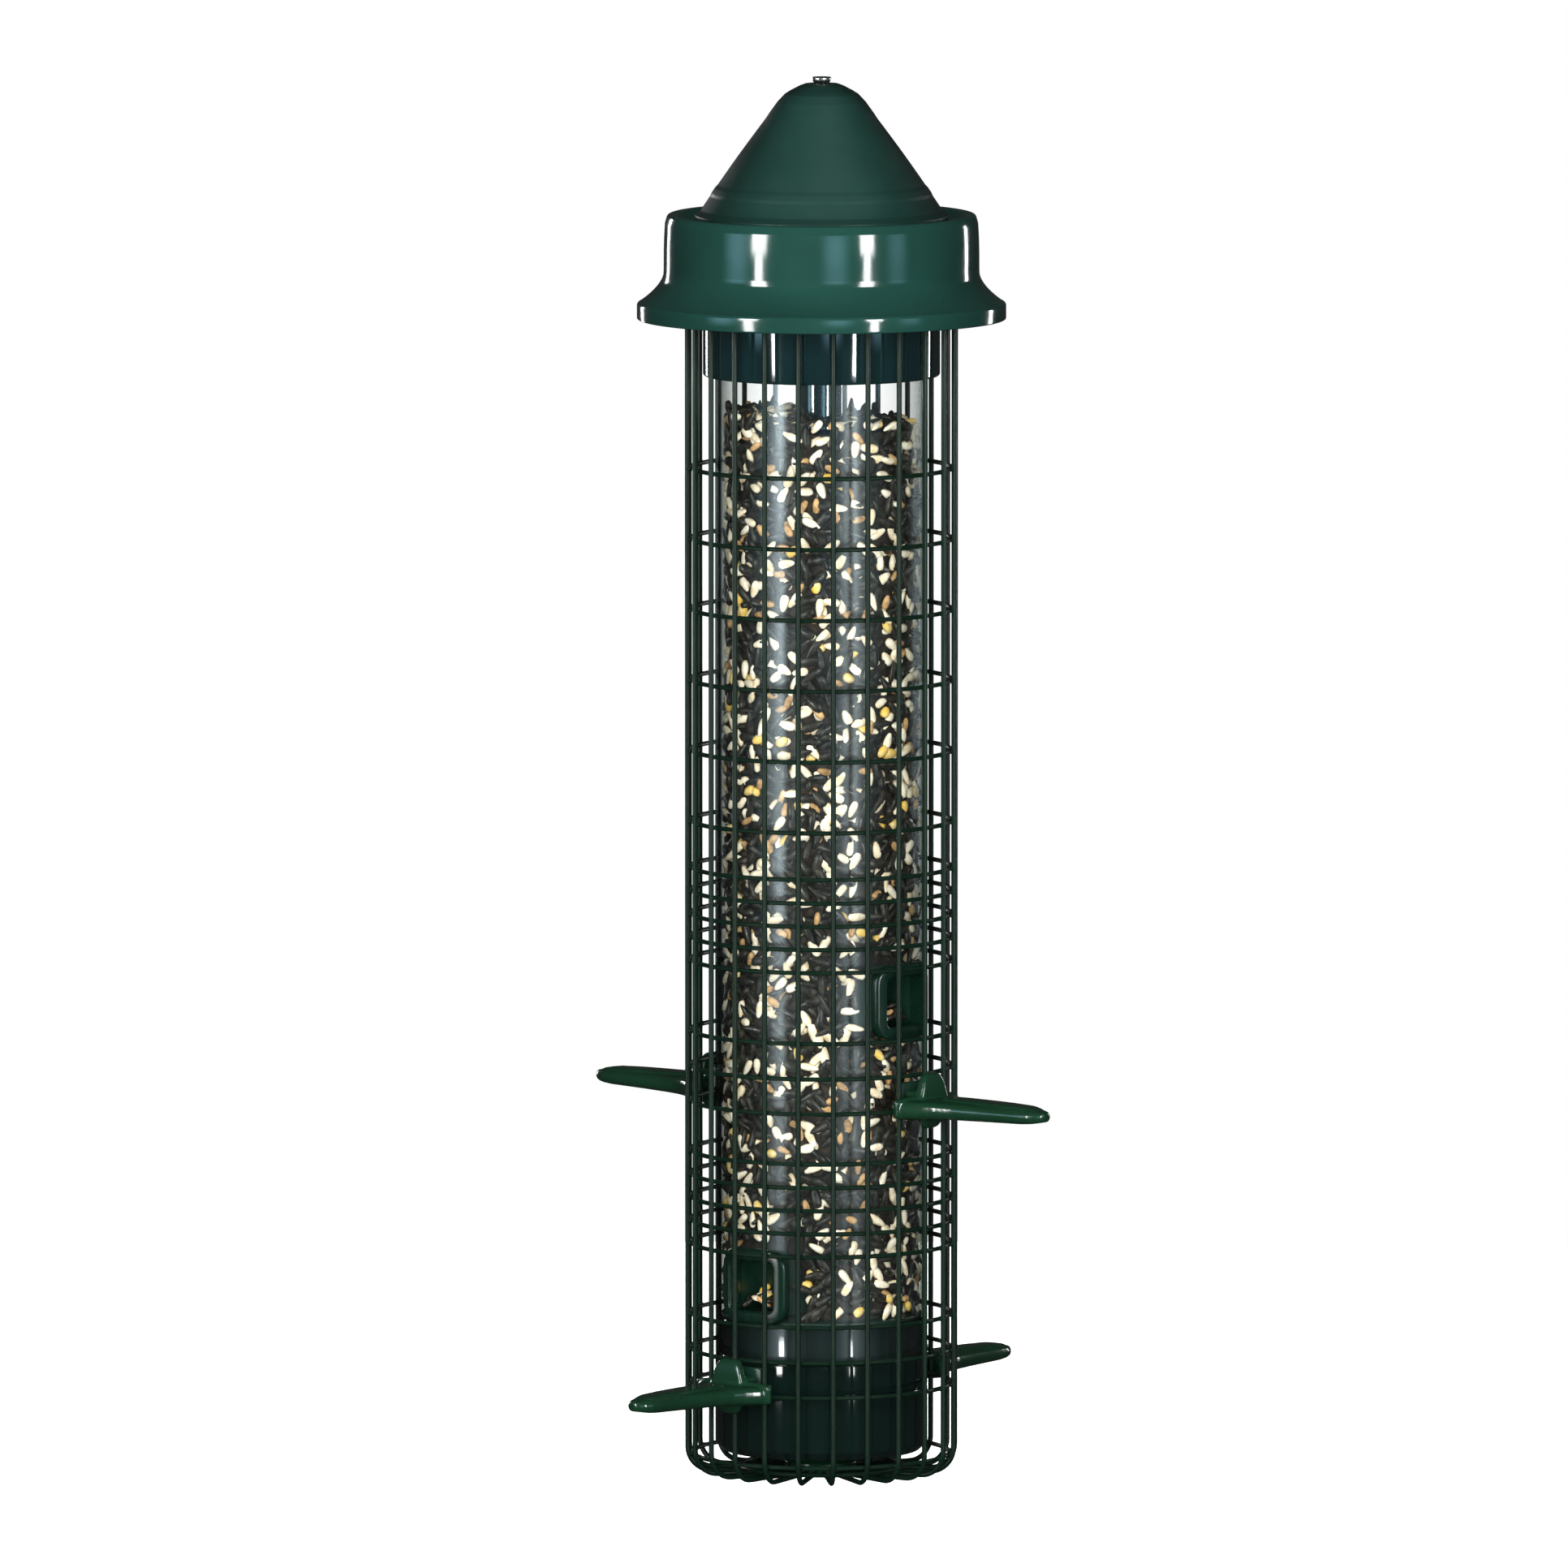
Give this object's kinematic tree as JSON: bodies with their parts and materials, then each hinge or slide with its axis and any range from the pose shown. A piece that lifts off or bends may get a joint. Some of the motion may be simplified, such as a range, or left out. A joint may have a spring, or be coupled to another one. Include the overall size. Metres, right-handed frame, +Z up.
{
  "type": "hanging tube bird feeder",
  "caption": "Hanging tube bird feeder with a conical cap, flared hood, clear seed tube, and a sprung wire cage that drops over the feed ports.",
  "frame": {"origin": "on the feeder's axis, at the underside of the cage floor's hub", "axes": "+Z up along the tube; the upper feed ports and perches lie on +X and -X, the lower ones on +Y and -Y"},
  "size_m": [0.242, 0.242, 0.5806],
  "materials": {
    "hood_green": "glossy moulded plastic",
    "gloss_dark": "glossy moulded plastic",
    "clear_tube": "clear extruded polycarbonate",
    "inner_green": "satin moulded plastic",
    "moulded_green": "glossy moulded plastic",
    "keeper_green": "satin moulded plastic",
    "coated_wire": "powder-coated steel wire",
    "steel": "drawn stainless steel",
    "spring_steel": "drawn spring wire",
    "seed_mix": "loose seed, matte"
  },
  "bodies": {
    "reservoir": {"hood": "hood_green", "tube_collar": "gloss_dark", "base_cup": "gloss_dark", "feed_tube_lower": "clear_tube", "feed_tube_upper": "clear_tube", "fill_spider": "inner_green", "centre_tube": "inner_green", "seed_cone": "inner_green", "guide_bush": "inner_green", "port_baffle_front": "inner_green", "port_baffle_rear": "inner_green", "port_baffle_right": "inner_green", "port_baffle_left": "inner_green", "port_frame_front": "moulded_green", "port_frame_rear": "moulded_green", "port_frame_right": "moulded_green", "port_frame_left": "moulded_green", "hanger_stem": "steel", "hanger_ferrule": "steel", "stem_nut": "steel", "lift_spring": "spring_steel", "seed_fill": "seed_mix"},
    "cap": {"roof_cap": "hood_green", "cap_grommet": "inner_green"},
    "cage": {"cage_uprights": "coated_wire", "cage_ring_01": "coated_wire", "cage_ring_02": "coated_wire", "cage_ring_03": "coated_wire", "cage_ring_04": "coated_wire", "cage_ring_05": "coated_wire", "cage_ring_06": "coated_wire", "cage_ring_07": "coated_wire", "cage_ring_08": "coated_wire", "cage_ring_09": "coated_wire", "cage_ring_10": "coated_wire", "cage_ring_11": "coated_wire", "cage_ring_12": "coated_wire", "cage_ring_13": "coated_wire", "cage_ring_14": "coated_wire", "cage_ring_15": "coated_wire", "cage_ring_16": "coated_wire", "cage_ring_17": "coated_wire", "cage_ring_18": "coated_wire", "cage_ring_19": "coated_wire", "cage_ring_20": "coated_wire", "cage_ring_21": "coated_wire", "cage_ring_22": "coated_wire", "cage_ring_23": "coated_wire", "cage_hub": "keeper_green", "perch_front": "moulded_green", "perch_rear": "moulded_green", "perch_right": "moulded_green", "perch_left": "moulded_green", "perch_clip_front": "keeper_green", "perch_clip_rear": "keeper_green", "perch_clip_right": "keeper_green", "perch_clip_left": "keeper_green", "lift_rod": "steel", "rod_nut": "steel"},
    "knob": {"adjust_knob": "keeper_green"}
  },
  "joints": [
    {"name": "cage_drop", "type": "slide", "parent": "reservoir", "child": "cage", "axis": [0, 0, -1], "range_m": [0, 0.029], "stiffness_N_per_m": 95, "springref_m": -0.0695, "deforming": ["lift_spring"]},
    {"name": "cap_lift", "type": "slide", "parent": "reservoir", "child": "cap", "axis": [0, 0, 1], "range_m": [0, 0.08]},
    {"name": "knob_turn", "type": "hinge", "parent": "cage", "child": "knob", "pos_m": [0, 0, 0.002], "axis": [0, 0, 1], "continuous": true}
  ]
}
